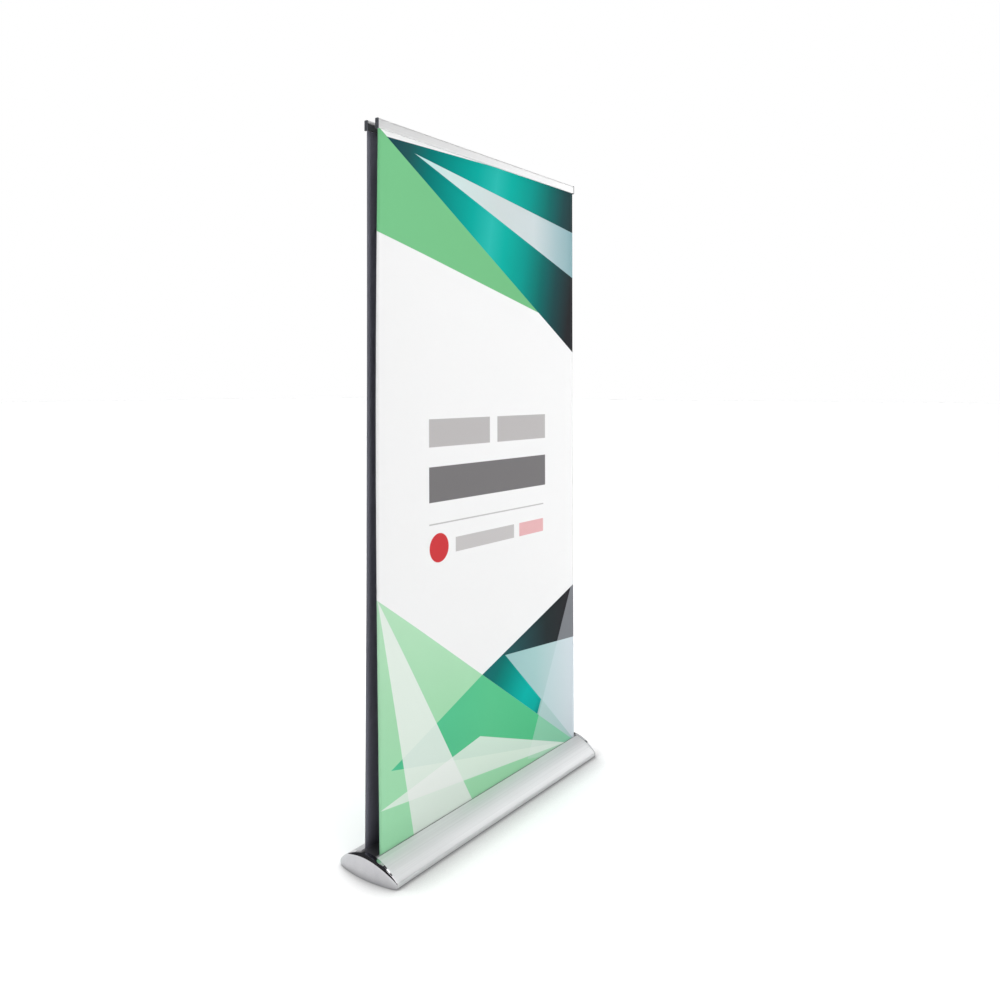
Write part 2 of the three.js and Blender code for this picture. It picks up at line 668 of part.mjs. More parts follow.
for (const [side, y] of Object.entries(SIDES)) {
  const rollerY = y * ROLLER_Y;
  add(`${side}_cover`, coverGeometry(y), anodised);
  add(`${side}_slot_inner_lip`, slotLipGeometry(y, 'inner'), blackPlastic);
  add(`${side}_slot_outer_lip`, slotLipGeometry(y, 'outer'), blackPlastic);
  const tube = pipe(ROLLER_RADIUS - ROLLER_WALL, ROLLER_RADIUS, -ROLLER_HALF, ROLLER_HALF);
  add(`${side}_roller_tube`, turnedX(tube, rollerY, ROLLER_Z), steel);
  const wound = pipe(ROLLER_RADIUS + GAP, FILM_ROLL_RADIUS, -FILM_HALF_WIDTH, FILM_HALF_WIDTH);
  add(`${side}_film_roll`, turnedX(wound, rollerY, ROLLER_Z), greyFilm);
  add(`${side}_idler_plug`, idlerPlugGeometry(rollerY), blackPlastic);
  add(`${side}_spring_plug`, springPlugGeometry(rollerY), blackPlastic);
  add(`${side}_spring_shaft`, springShaftGeometry(rollerY), steel);
  const spring = pipe(SPRING.inner, SPRING.outer, SPRING.from, SPRING.to);
  add(`${side}_torsion_spring`, turnedX(spring, rollerY, ROLLER_Z, 16), steel);
  add(`${side}_banner`, filmGeometry(y), printedFilm);
  add(`${side}_rail_spine`, railSpineGeometry(y), railMetal);
  add(`${side}_rail_jaw`, railJawGeometry(y), railMetal);
  for (const [end, x] of Object.entries(ENDS)) {
    add(`${side}_rail_${end}_cap`, railCapGeometry(y, x), greyPlastic);
  }
}

add('pole_lower_tube', tubeGeometry(LOWER_TUBE), anodised);
add('pole_lower_plug', footPlugGeometry(LOWER_TUBE), blackPlastic);
add('lower_twist_lock', twistLockGeometry(LOWER_TUBE, MIDDLE_TUBE), blackPlastic);
add('pole_middle_tube', tubeGeometry(MIDDLE_TUBE), anodised);
add('pole_middle_plug', footPlugGeometry(MIDDLE_TUBE), blackPlastic);
add('upper_twist_lock', twistLockGeometry(MIDDLE_TUBE, UPPER_TUBE), blackPlastic);
add('pole_upper_tube', tubeGeometry(UPPER_TUBE), anodised);
add('pole_upper_plug', footPlugGeometry(UPPER_TUBE), blackPlastic);
add('pole_head', poleHeadGeometry(), blackPlastic);

export default stand;
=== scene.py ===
"""Looks of a double-sided roll-up banner stand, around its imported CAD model. Sizes are in metres."""

import json
import math

import bmesh
import bpy
import numpy as np
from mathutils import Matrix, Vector

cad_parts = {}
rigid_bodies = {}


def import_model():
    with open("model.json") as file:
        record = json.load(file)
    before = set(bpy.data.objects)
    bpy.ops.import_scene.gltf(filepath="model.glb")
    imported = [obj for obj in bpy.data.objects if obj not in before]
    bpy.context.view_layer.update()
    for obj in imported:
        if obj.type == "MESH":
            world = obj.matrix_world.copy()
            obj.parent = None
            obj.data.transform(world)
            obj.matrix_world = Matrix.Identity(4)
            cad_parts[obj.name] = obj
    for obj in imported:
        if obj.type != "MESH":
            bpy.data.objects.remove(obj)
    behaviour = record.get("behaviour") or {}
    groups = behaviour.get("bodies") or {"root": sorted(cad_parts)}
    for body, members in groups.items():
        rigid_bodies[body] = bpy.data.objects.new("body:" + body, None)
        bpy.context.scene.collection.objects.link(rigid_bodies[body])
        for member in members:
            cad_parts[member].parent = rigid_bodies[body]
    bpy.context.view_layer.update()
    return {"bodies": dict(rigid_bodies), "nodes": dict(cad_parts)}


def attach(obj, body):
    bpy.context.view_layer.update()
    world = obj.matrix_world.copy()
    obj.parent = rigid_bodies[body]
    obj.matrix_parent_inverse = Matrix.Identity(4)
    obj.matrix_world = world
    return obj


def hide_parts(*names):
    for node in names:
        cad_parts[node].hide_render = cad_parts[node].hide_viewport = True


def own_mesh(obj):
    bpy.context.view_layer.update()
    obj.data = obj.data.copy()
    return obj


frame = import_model()
NODES = frame["nodes"]
SIDES = {"front": -1, "rear": 1}
ENDS = {"left": -1, "right": 1}

# The base, as in the CAD model.
HALF_DEPTH = 0.107
CROWN_RADIUS = 0.141
CROWN_CENTRE = 0.064 - CROWN_RADIUS
BASE_LOW = 0.0025
CAP_START = 0.5138
CAP_REACH = 0.533
CAP_BOW = 0.016
CAP_WALL = 0.0024
CAP_PROUD = 0.001
CROWN_HALF = 0.1035  # half the width of the crown's arc; the nose starts there
NOSE_DROP = 0.004  # how far in from the tip the nose meets the underside
ROLLER_Y, ROLLER_Z = 0.047, 0.029

# The films.
FILM_HALF = 0.5
FILM_THICKNESS = 0.0004
FILM_FOOT, SLOT_Z, FILM_TOP = 0.030, 0.060, 2.052
STRAIGHT_FROM = 2.002  # flat from here up: with the pole down, this is what lies in the rail
FILM_PATH = [(FILM_FOOT, 0.0303), (SLOT_Z, 0.0275), (STRAIGHT_FROM, 0.0205), (FILM_TOP, 0.0205)]
CURL_FROM = (0.24, 0.36)  # the edges curl from here out, to the left and to the right
CURL = {"front": (0.0102, 0.0012), "rear": (0.0028, 0.0040)}  # deepest curl, left and right


# ---------------------------------------------------------------- node trees

def srgb(r, g, b):
    """A colour given as 0-255 sRGB, as linear RGBA."""
    def linear(c):
        c /= 255
        return c / 12.92 if c <= 0.04045 else ((c + 0.055) / 1.055) ** 2.4
    return (linear(r), linear(g), linear(b), 1.0)


class Paint:
    """One material's node tree, built by short calls. Texture scales are in cycles per metre."""

    def __init__(self, name, metallic=0.0, specular=0.5):
        self.material = bpy.data.materials.new(name)
        self.material.use_nodes = True
        self.tree = self.material.node_tree
        self.tree.nodes.clear()
        output = self.node("ShaderNodeOutputMaterial")
        self.shader = self.node("ShaderNodeBsdfPrincipled")
        self.link(self.shader.outputs["BSDF"], output.inputs["Surface"])
        self.set("Metallic", metallic)
        self.set("Specular IOR Level", specular)
        self.place = self.node("ShaderNodeTexCoord").outputs["Object"]

    def node(self, kind, **settings):
        made = self.tree.nodes.new(kind)
        for key, value in settings.items():
            setattr(made, key, value)
        return made

    def link(self, output, socket):
        self.tree.links.new(output, socket)

    def feed(self, socket, value):
        if isinstance(value, bpy.types.NodeSocket):
            self.link(value, socket)
        else:
            socket.default_value = value

    def math(self, operation, a, b=None, c=None, clamp=False):
        made = self.node("ShaderNodeMath", operation=operation, use_clamp=clamp)
        for socket, value in zip(made.inputs, (a, b, c)):
            if value is not None:
                self.feed(socket, value)
        return made.outputs[0]

    def mix(self, factor, a, b):
        made = self.node("ShaderNodeMix", data_type="RGBA")
        self.feed(made.inputs[0], factor)
        self.feed(made.inputs[6], a)
        self.feed(made.inputs[7], b)
        return made.outputs[2]

    def stretched(self, scale):
        """Object coordinates times a scale for each axis."""
        made = self.node("ShaderNodeMapping", vector_type="POINT")
        made.inputs["Scale"].default_value = scale
        self.link(self.place, made.inputs["Vector"])
        return made.outputs["Vector"]

    def noise(self, scale, detail=2.0, roughness=0.5):
        made = self.node("ShaderNodeTexNoise")
        made.inputs["Scale"].default_value = 1.0
        made.inputs["Detail"].default_value = detail
        made.inputs["Roughness"].default_value = roughness
        self.link(self.stretched(scale), made.inputs["Vector"])
        return made.outputs["Fac"]

    def cells(self, scale):
        made = self.node("ShaderNodeTexVoronoi")
        made.inputs["Scale"].default_value = 1.0
        self.link(self.stretched(scale), made.inputs["Vector"])
        return made.outputs["Distance"]

    def spread(self, value, low, high, from_low=0.3, from_high=0.7):
        """A value's range, by default a noise's, stretched over low to high and held there."""
        made = self.node("ShaderNodeMapRange")
        self.feed(made.inputs["Value"], value)
        for socket, number in (("From Min", from_low), ("From Max", from_high),
                               ("To Min", low), ("To Max", high)):
            made.inputs[socket].default_value = number
        return made.outputs["Result"]

    def ramp(self, value, stops):
        made = self.node("ShaderNodeValToRGB")
        elements = made.color_ramp.elements
        while len(elements) < len(stops):
            elements.new(0.5)
        for element, (position, color) in zip(elements, stops):
            element.position = position
            element.color = color
        self.feed(made.inputs["Fac"], value)
        return made.outputs["Color"]

    def bumps(self, *heights):
        """Stacks height fields, each given with the real height of its relief in metres."""
        normal = None
        for height, relief in heights:
            made = self.node("ShaderNodeBump")
            made.inputs["Strength"].default_value = 1.0
            made.inputs["Distance"].default_value = relief
            self.link(height, made.inputs["Height"])
            if normal is not None:
                self.link(normal, made.inputs["Normal"])
            normal = made.outputs["Normal"]
        self.set("Normal", normal)

    def set(self, name, value):
        self.feed(self.shader.inputs[name], value)


# ---------------------------------------------------------------- materials

def scaled(color, factor, lift=0.0):
    """A lighter or darker version of a colour."""
    return tuple(min(1.0, c * factor + lift) for c in color[:3]) + (1.0,)


def extrusion(name, color, roughness, along, metallic=1.0, groove=None):
    """Anodised extruded aluminium: die lines along one axis over a fine satin grain; where a groove mask
    is given, painted shade darkens it.
    """
    paint = Paint(name, metallic=metallic)
    fine = paint.noise([1.5 if axis == along else 1400.0 for axis in "xyz"], 3.0, 0.6)
    wide = paint.noise([0.8 if axis == along else 260.0 for axis in "xyz"])
    grain = paint.noise((5200.0,) * 3, 1.0)
    cloud = paint.noise((6.0, 9.0, 9.0), 3.0)
    light = scaled(color, 1.03)
    streaks = paint.mix(paint.spread(wide, 0.0, 1.0), scaled(color, 0.93), light)
    tone = paint.mix(paint.spread(cloud, 0.0, 0.35), streaks, light)
    # painted shade: the masked part is darkened, standing in for the shade in the gap between the rails
    if groove:
        tone = paint.mix(groove(paint), tone, GROOVE_PAINTED_SHADE)
    paint.set("Base Color", tone)
    mixed = paint.math("ADD", paint.spread(fine, -0.035, 0.035), paint.spread(cloud, -0.03, 0.03))
    paint.set("Roughness", paint.math("ADD", mixed, roughness, clamp=True))
    paint.bumps((wide, 0.00002), (fine, 0.000008), (grain, 0.0000035))
    return paint.material


def chromed(name):
    """Bright chrome on a moulding: a mirror with faint ripple, wipe marks and dust."""
    paint = Paint(name, metallic=1.0)
    ripple = paint.noise((34.0,) * 3)
    wipe = paint.noise((420.0, 60.0, 900.0), 3.0, 0.6)
    dust = paint.cells((1500.0,) * 3)
    specks = paint.math("LESS_THAN", dust, 0.09)
    tint = paint.mix(paint.spread(ripple, 0.0, 1.0), srgb(190, 190, 193), srgb(197, 197, 199))
    paint.set("Base Color", paint.mix(paint.math("MULTIPLY", specks, 0.25), tint, srgb(170, 168, 164)))
    base = paint.spread(wipe, 0.03, 0.075)
    paint.set("Roughness", paint.math("ADD", base, paint.math("MULTIPLY", specks, 0.2), clamp=True))
    paint.bumps((ripple, 0.00006))
    return paint.material


def plated(name, color, roughness):
    """Zinc-plated or spring steel: mottled, with fine scratches."""
    paint = Paint(name, metallic=1.0)
    mottle = paint.cells((260.0,) * 3)
    scratch = paint.noise((160.0, 2600.0, 2600.0), 2.0, 0.7)
    cloud = paint.noise((60.0,) * 3, 3.0)
    tone = paint.mix(paint.spread(mottle, 0.0, 1.0, 0.1, 0.6), scaled(color, 0.8), scaled(color, 1.12))
    paint.set("Base Color", paint.mix(paint.spread(cloud, 0.0, 0.5), tone, color))
    paint.set("Roughness", paint.math("ADD", paint.spread(scratch, -0.07, 0.07), roughness, clamp=True))
    paint.bumps((scratch, 0.000006), (mottle, 0.000004))
    return paint.material


GRAIN_RELIEF = 0.00004  # depth of a moulding's spark-eroded grain


def moulded(name, color, roughness):
    """Moulded plastic with a spark-eroded grain, rubbed a little smoother and paler in patches."""
    paint = Paint(name, specular=0.45)
    grain = paint.cells((1900.0,) * 3)
    fine = paint.noise((4200.0,) * 3, 2.0)
    rubbed = paint.noise((45.0,) * 3, 3.0, 0.6)
    worn = scaled(color, 1.35, 0.006)
    tone = paint.mix(paint.spread(rubbed, 0.0, 0.6, 0.45, 0.75), color, worn)
    paint.set("Base Color", paint.mix(paint.spread(grain, 0.0, 0.35, 0.1, 0.6), tone, worn))
    paint.set("Roughness", paint.math("ADD", paint.spread(rubbed, 0.05, -0.06), roughness, clamp=True))
    paint.bumps((grain, GRAIN_RELIEF), (fine, GRAIN_RELIEF * 0.3))
    return paint.material


def rubbered(name):
    """Matte rubber with a pebbled skin and grey dust in its hollows."""
    paint = Paint(name, specular=0.25)
    pebble = paint.cells((900.0,) * 3)
    dust = paint.noise((120.0,) * 3, 4.0, 0.65)
    paint.set("Base Color", paint.mix(paint.spread(dust, 0.0, 0.5, 0.5, 0.8),
                                      srgb(30, 30, 31), srgb(92, 90, 87)))
    paint.set("Roughness", paint.spread(pebble, 0.9, 0.74, 0.1, 0.6))
    paint.bumps((pebble, 0.00009))
    return paint.material


def film_skin(paint, relief):
    """The calendered skin of banner film: bumps of cross-laid threads, which it also returns."""
    warp = paint.noise((1500.0, 1500.0, 30.0), 1.0)
    weft = paint.noise((30.0, 1500.0, 1500.0), 1.0)
    slack = paint.noise((2.2, 2.2, 0.8), 2.0)
    paint.bumps((slack, 0.0006), (warp, relief), (weft, relief))
    return paint.math("MULTIPLY", paint.math("ADD", warp, weft), 0.5)


def blockout(name):
    """The slate-grey blockout back of the film."""
    paint = Paint(name, specular=0.35)
    threads = film_skin(paint, 0.00002)
    cloud = paint.noise((7.0, 7.0, 3.0), 3.0)
    tone = paint.mix(paint.spread(cloud, 0.0, 1.0), srgb(120, 121, 132), srgb(130, 131, 142))
    paint.set("Base Color", paint.mix(paint.spread(threads, 0.0, 0.35), tone, srgb(86, 87, 97)))
    paint.set("Roughness", paint.spread(threads, 0.48, 0.6))
    return paint.material


PRINT_EDGE = 0.0009  # width over which one printed facet passes into the next
GREY_WHITE = srgb(241, 241, 241)


class Print(Paint):
    """The printed face: facets as half planes in the film's plane, laid over each other."""

    def __init__(self, name, side):
        super().__init__(name, specular=0.03)
        carried = self.node("ShaderNodeTexCoord", object=frame["bodies"]["pole_upper"])
        self.carried = carried.outputs["Object"]
        self.facing = -side
        self.color = GREY_WHITE

    def along(self, x, z, offset):
        """x * (position across) + z * (position up) + offset."""
        made = self.node("ShaderNodeVectorMath", operation="DOT_PRODUCT")
        self.link(self.carried, made.inputs[0])
        made.inputs[1].default_value = (x * self.facing, 0.0, z)
        return self.math("ADD", made.outputs["Value"], offset)

    def beyond(self, p, q):
        """1 to the left of the line from p to q, 0 to its right."""
        dx, dz = q[0] - p[0], q[1] - p[1]
        length = math.hypot(dx, dz)
        nx, nz = -dz / length / PRINT_EDGE, dx / length / PRINT_EDGE
        distance = self.along(nx, nz, 0.5 - nx * p[0] - nz * p[1])
        return self.math("MINIMUM", self.math("MAXIMUM", distance, 0.0), 1.0)

    def inside(self, *corners):
        """1 inside a convex polygon."""
        area = sum(p[0] * q[1] - q[0] * p[1] for p, q in zip(corners, corners[1:] + corners[:1]))
        corners = corners if area > 0 else corners[::-1]
        mask = None
        for p, q in zip(corners, corners[1:] + corners[:1]):
            edge = self.beyond(p, q)
            mask = edge if mask is None else self.math("MULTIPLY", mask, edge)
        return mask

    def lay(self, mask, color, share=1.0):
        if share != 1.0:
            mask = self.math("MULTIPLY", mask, share)
        self.color = self.mix(mask, self.color, color)

    def fade(self, x, z, offset, low, high, stops):
        """A gradient along a direction, its stops given as (position, colour)."""
        value = self.spread(self.along(x, z, offset), 0.0, 1.0, low, high)
        return self.ramp(value, [((at - low) / (high - low), srgb(*rgb)) for at, rgb in stops])

    def disc(self, x, z, radius):
        across = self.along(1.0, 0.0, -x)
        up = self.along(0.0, 1.0, -z)
        square = self.math("MULTIPLY_ADD", across, across, self.math("MULTIPLY", up, up))
        distance = self.math("SUBTRACT", radius, self.math("SQRT", square))
        return self.math("MULTIPLY_ADD", distance, 1 / PRINT_EDGE, 0.5, clamp=True)

    def bar(self, x0, x1, z0, z1):
        return self.inside((x0, z0), (x1, z0), (x1, z1), (x0, z1))


def printed(name, side):
    """The film's printed face: a white field between faceted corners, with plain bars for text."""
    paint = Print(name, side)
    left, right = -0.52, 0.52

    # Upper corner: a green triangle and a dark-to-teal one, with a pale shard across it.
    green = paint.fade(1.0, -0.4, 0.8, -0.5, 0.6, [(-0.5, (121, 196, 140)), (0.6, (113, 186, 128))])
    paint.lay(paint.inside((left, 2.0512), (left, 1.7583), (0.281, 1.5843)), green)
    teal = paint.fade(1.0, -0.2, 0.406, -0.5, 0.6, [
        (-0.46, (30, 68, 80)), (-0.37, (34, 84, 86)), (-0.28, (4, 116, 112)), (-0.18, (0, 142, 134)),
        (-0.05, (0, 166, 156)), (0.05, (40, 184, 174)), (0.13, (0, 172, 160)), (0.25, (0, 148, 138)),
        (0.36, (10, 104, 100)), (0.45, (28, 70, 73)), (0.56, (38, 39, 42))])
    paint.lay(paint.inside((-0.465, 2.018), (right, 1.4438), (right, 2.051)), teal)
    pale = paint.fade(1.0, 0.0, 0.0, -0.36, 0.5, [
        (-0.36, (180, 222, 220)), (-0.2, (205, 226, 224)), (0.05, (204, 214, 214)),
        (0.25, (203, 214, 216)), (0.4, (163, 190, 195)), (0.5, (136, 171, 177))])
    paint.lay(paint.inside((-0.350, 1.996), (right, 1.7197), (right, 1.8875)), pale)

    # Lower corner: pale greens, a teal and a dark facet, and translucent shards over them.
    rise = ((0.5, 0.047), (-0.5, 0.75))
    above = paint.beyond(rise[1], rise[0])
    meadow = paint.fade(0.1, 1.0, 0.0, 0.05, 0.72, [
        (0.05, (160, 222, 177)), (0.35, (165, 218, 177)), (0.72, (184, 226, 192))])
    paint.lay(paint.math("SUBTRACT", 1.0, above), meadow)
    wedge = paint.math("MULTIPLY", above, paint.beyond((0.5, 0.614), (-0.043, 0.4287)))
    lagoon = paint.fade(1.0, -1.0, 0.0, -0.5, 0.1, [
        (-0.47, (24, 104, 104)), (-0.38, (12, 112, 107)), (-0.29, (0, 138, 128)),
        (-0.11, (0, 178, 169)), (0.0, (0, 170, 160)), (0.07, (10, 120, 112))])
    paint.lay(wedge, lagoon)
    night = paint.fade(1.0, 0.0, 0.0, -0.05, 0.5, [
        (-0.04, (30, 98, 98)), (0.08, (38, 88, 90)), (0.20, (40, 70, 74)),
        (0.32, (38, 48, 50)), (0.5, (44, 40, 44))])
    paint.lay(paint.math("MULTIPLY", wedge, paint.beyond((0.079, 0.460), (0.52, 0.4219))), night)
    grass = paint.fade(1.0, 0.0, 0.0, -0.45, 0.45, [
        (-0.45, (84, 192, 146)), (0.0, (92, 196, 142)), (0.45, (80, 192, 134))])
    paint.lay(paint.inside((-0.452, 0.272), (0.5, 0.047), (-0.043, 0.4287)), grass)
    shard = paint.fade(1.0, 0.0, 0.0, 0.07, 0.5, [
        (0.07, (156, 196, 196)), (0.25, (166, 203, 202)),
        (0.45, (196, 212, 216)), (0.5, (200, 212, 218))])
    paint.lay(paint.inside((0.079, 0.460), (right, 0.0304), (right, 0.4219)), shard)
    strip = paint.inside((0.288, 0.2595), (0.235, 0.160), (0.5, 0.0), (0.505, 0.045))
    paint.lay(paint.math("MULTIPLY", strip, above), srgb(160, 200, 194), 0.9)
    veil = paint.inside((0.2048, 0.080), (right, 0.0), (right, 0.6812))
    paint.lay(veil, srgb(226, 232, 240), 0.25)
    paint.lay(paint.inside((-0.496, 0.177), (0.442, 0.058), (-0.054, 0.240)), srgb(238, 243, 238), 0.72)
    paint.lay(paint.inside((-0.497, 0.748), (-0.3605, 0.05), (-0.0905, 0.05)), srgb(238, 241, 238), 0.78)

    # Where the words and the mark stand in the photograph: plain bars, a rule and a disc.
    grey, ink = srgb(186, 183, 183), srgb(120, 118, 119)
    paint.lay(paint.bar(-0.292, 0.000, 1.154, 1.236), grey)
    paint.lay(paint.bar(0.040, 0.316, 1.154, 1.236), grey)
    paint.lay(paint.bar(-0.292, 0.316, 0.992, 1.096), ink)
    paint.lay(paint.bar(-0.292, 0.304, 0.9260, 0.9300), srgb(190, 188, 188))
    paint.lay(paint.disc(-0.248, 0.857, 0.043), srgb(205, 62, 66))
    paint.lay(paint.bar(-0.172, 0.130, 0.834, 0.878), srgb(196, 193, 193))
    paint.lay(paint.bar(0.160, 0.302, 0.834, 0.878), srgb(228, 180, 182))

    threads = film_skin(paint, 0.000012)
    dots = paint.noise((2600.0,) * 3, 1.0)
    paint.set("Base Color", paint.mix(paint.spread(dots, 0.0, 0.03), paint.color, srgb(40, 42, 44)))
    paint.set("Roughness", paint.spread(threads, 0.52, 0.64))
    return paint.material


INNER_FLANGE_DEPTH = 0.0188  # how far from the stand's middle plane a rail's inner flange reaches
CHANNEL_TOP = 2.0526
# the painted shade on a rail's inner flange and groove, in the gap between the two rails
GROOVE_PAINTED_SHADE = srgb(84, 88, 90)


def flange_shade_mask(paint):
    """1 on a rail's inner flange and in its groove, which face the other rail and get painted shade
    there.
    """
    made = paint.node("ShaderNodeSeparateXYZ")
    paint.link(paint.place, made.inputs[0])
    inner = paint.math("LESS_THAN", paint.math("ABSOLUTE", made.outputs["Y"]), INNER_FLANGE_DEPTH)
    low = paint.math("LESS_THAN", made.outputs["Z"], CHANNEL_TOP)
    return paint.math("MULTIPLY", inner, low)


COVER = extrusion("satin_aluminium", srgb(224, 225, 226), 0.46, "x", 0.6)
# the rails carry painted shade on their inner flanges and grooves
RAIL = extrusion("rail_aluminium", srgb(222, 222, 222), 0.44, "x", 0.35, flange_shade_mask)
# The tray's dark tone is partly its mill finish and partly painted shade, for the strip that shows
# between the two films.
TRAY = extrusion("mill_aluminium_painted_shade", srgb(150, 150, 154), 0.34, "x", 0.92)
POLE = extrusion("drawn_aluminium", srgb(208, 209, 212), 0.28, "z")
CHROME = chromed("bright_chrome")
STEEL = plated("zinc_plated_steel", srgb(168, 171, 176), 0.34)
SPRING_STEEL = plated("spring_steel", srgb(92, 94, 98), 0.4)
BLACK = moulded("black_moulding", srgb(30, 31, 33), 0.48)
GREY = moulded("grey_moulding", srgb(78, 80, 86), 0.46)
LIP = moulded("lip_moulding", srgb(128, 129, 131), 0.5)
RUBBER = rubbered("pad_rubber")
BACK = blockout("slate_blockout")
PRINTS = {name: printed(name + "_print", side) for name, side in SIDES.items()}


# ---------------------------------------------------------------- CAD nodes

WELD_REACH = 0.000002
FLAT_WITHIN = math.radians(0.4)  # facets closer to one plane than this become one face
SHARP_FROM = math.radians(32)  # edges sharper than this are rounded


def dress(name, material, bevel):
    """A CAD node keeps its mesh and gets rounded edges, even shading and its material."""
    node = NODES[name]
    node.material_slots[0].material = material
    if "custom_normal" in node.data.attributes:
        node.data.attributes.remove(node.data.attributes["custom_normal"])
    node.data.polygons.foreach_set("use_smooth", [True] * len(node.data.polygons))
    weld = node.modifiers.new("weld", "WELD")
    weld.merge_threshold = WELD_REACH
    flat = node.modifiers.new("flat", "DECIMATE")
    flat.decimate_type = "DISSOLVE"
    flat.angle_limit = FLAT_WITHIN
    edges = node.modifiers.new("edges", "BEVEL")
    edges.width = bevel
    edges.segments = 2
    edges.limit_method = "ANGLE"
    edges.angle_limit = SHARP_FROM
    edges.use_clamp_overlap = True
    even = node.modifiers.new("even", "WEIGHTED_NORMAL")
    even.keep_sharp = True


DRESSED = {
    "base_tray": (TRAY, 0.0003), "front_cover": (COVER, 0.0003), "rear_cover": (COVER, 0.0003),
    "pole_socket": (BLACK, 0.0005), "pole_head": (BLACK, 0.0004),
    "lower_twist_lock": (BLACK, 0.0004), "upper_twist_lock": (BLACK, 0.0004),
    "pole_lower_tube": (POLE, 0.0002), "pole_middle_tube": (POLE, 0.0002),
    "pole_upper_tube": (POLE, 0.0002), "pole_lower_plug": (BLACK, 0.0003),
    "pole_middle_plug": (BLACK, 0.0003), "pole_upper_plug": (BLACK, 0.0003),
    "socket_screw_left": (STEEL, 0.0002), "socket_screw_right": (STEEL, 0.0002),
}
for side in SIDES:
    DRESSED[side + "_slot_inner_lip"] = (LIP, 0.0002)
    DRESSED[side + "_slot_outer_lip"] = (LIP, 0.0002)
    DRESSED[side + "_roller_tube"] = (STEEL, 0.0002)
    DRESSED[side + "_film_roll"] = (BACK, 0.0002)
    DRESSED[side + "_idler_plug"] = (BLACK, 0.0003)
    DRESSED[side + "_spring_plug"] = (BLACK, 0.0003)
    DRESSED[side + "_spring_shaft"] = (STEEL, 0.0003)
    DRESSED[side + "_rail_spine"] = (RAIL, 0.00025)
    DRESSED[side + "_rail_jaw"] = (RAIL, 0.00025)
    DRESSED[side + "_rail_left_cap"] = (GREY, 0.0005)
    DRESSED[side + "_rail_right_cap"] = (GREY, 0.0005)
    for end in ENDS:
        DRESSED[f"{end}_{side}_tray_screw"] = (STEEL, 0.0002)
        DRESSED[f"{end}_{side}_cover_screw"] = (STEEL, 0.0002)
        DRESSED[f"{end}_{side}_foot_pad"] = (RUBBER, 0.0005)
for end in ENDS:
    DRESSED[end + "_end_plate"] = (STEEL, 0.0003)
for name, (material, bevel) in DRESSED.items():
    dress(name, material, bevel)


# ---------------------------------------------------------------- new pieces

def mesh_object(name, vertices, faces, materials, smooth=True):
    mesh = bpy.data.meshes.new(name)
    mesh.from_pydata([tuple(v) for v in vertices], [], faces)
    mesh.validate()
    for material in materials:
        mesh.materials.append(material)
    mesh.polygons.foreach_set("use_smooth", [smooth] * len(mesh.polygons))
    made = bpy.data.objects.new(name, mesh)
    bpy.context.scene.collection.objects.link(made)
    return made


def face_outward(piece):
    """Turns every face of a closed piece outward."""
    tidy = bmesh.new()
    tidy.from_mesh(piece.data)
    bmesh.ops.recalc_face_normals(tidy, faces=tidy.faces)
    tidy.to_mesh(piece.data)
    tidy.free()


def film_depth(z):
    """How far the film's middle is from the stand's middle plane, at a height."""
    heights, depths = zip(*FILM_PATH)
    return float(np.interp(z, heights, depths))


def curl(side, x, z):
    """How far the film has curled in towards the pole: most at its edges, just over half way up."""
    t = min(max((z - SLOT_Z) / (STRAIGHT_FROM - SLOT_Z), 0.0), 1.0)
    belly = math.sin(math.pi * t ** 1.15)
    edges = [max(0.0, (out - start) / (FILM_HALF - start)) ** 2
             for out, start in zip((-x, x), CURL_FROM)]
    return belly * sum(depth * edge for depth, edge in zip(CURL[side], edges))


def film(side):
    """One banner film, from inside the base to inside its rail: printed outside, slate grey inside."""
    facing = SIDES[side]
    across = np.linspace(-FILM_HALF, FILM_HALF, 65)
    up = np.concatenate([np.linspace(FILM_FOOT, SLOT_Z, 5)[:-1],
                         np.linspace(SLOT_Z, STRAIGHT_FROM, 121),
                         np.linspace(STRAIGHT_FROM, FILM_TOP, 4)[1:]])
    vertices = [(x, facing * (film_depth(z) - curl(side, x, z)), z) for z in up for x in across]
    wide = len(across)
    faces = []
    for row in range(len(up) - 1):
        for column in range(wide - 1):
            a = row * wide + column
            face = (a, a + 1, a + 1 + wide, a + wide)
            faces.append(face if facing < 0 else face[::-1])
    made = mesh_object(side + "_film", vertices, faces, [PRINTS[side], BACK])
    thick = made.modifiers.new("thickness", "SOLIDIFY")
    thick.thickness = FILM_THICKNESS
    thick.offset = 0.0
    thick.material_offset = 1
    thick.material_offset_rim = 1
    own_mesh(made)
    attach(made, "base")
    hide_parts(side + "_banner")


def through(points, steps):
    """A closed smooth curve through the points."""
    points = np.array(points, float)
    before, after = np.roll(points, 1, 0), np.roll(points, -1, 0)
    beyond = np.roll(points, -2, 0)
    out = []
    for i in range(len(points)):
        p0, p1, p2, p3 = before[i], points[i], after[i], beyond[i]
        chord = np.linalg.norm(p2 - p1)
        m1 = (p2 - p0) / (np.linalg.norm(p1 - p0) + chord) * chord
        m2 = (p3 - p1) / (np.linalg.norm(p3 - p2) + chord) * chord
        for k in range(steps):
            t = k / steps
            out.append((2 * t**3 - 3 * t**2 + 1) * p1 + (t**3 - 2 * t**2 + t) * m1
                       + (3 * t**2 - 2 * t**3) * p2 + (t**3 - t**2) * m2)
    return np.array(out)


def rim(grow):
    """The outline of a cap's rim, grown outward from the base's own."""
    tip, low, radius = HALF_DEPTH + grow, BASE_LOW - grow, CROWN_RADIUS + grow
    across = CROWN_HALF * np.cos(np.pi * np.arange(17) / 16) * (1 + grow / CROWN_RADIUS)
    top = [(y, CROWN_CENTRE + math.sqrt(radius**2 - y * y)) for y in across]
    nose = [(tip - 0.0007, 0.015), (tip, 0.0115), (tip, 0.0065), (tip - 0.0012, low + 0.0012),
            (tip - NOSE_DROP, low)]
    bottom = [(y, low) for y in (-0.09, -0.06, -0.02, 0.02, 0.06, 0.09)]
    return through(bottom + nose[::-1] + top + [(-y, z) for y, z in nose], 5)


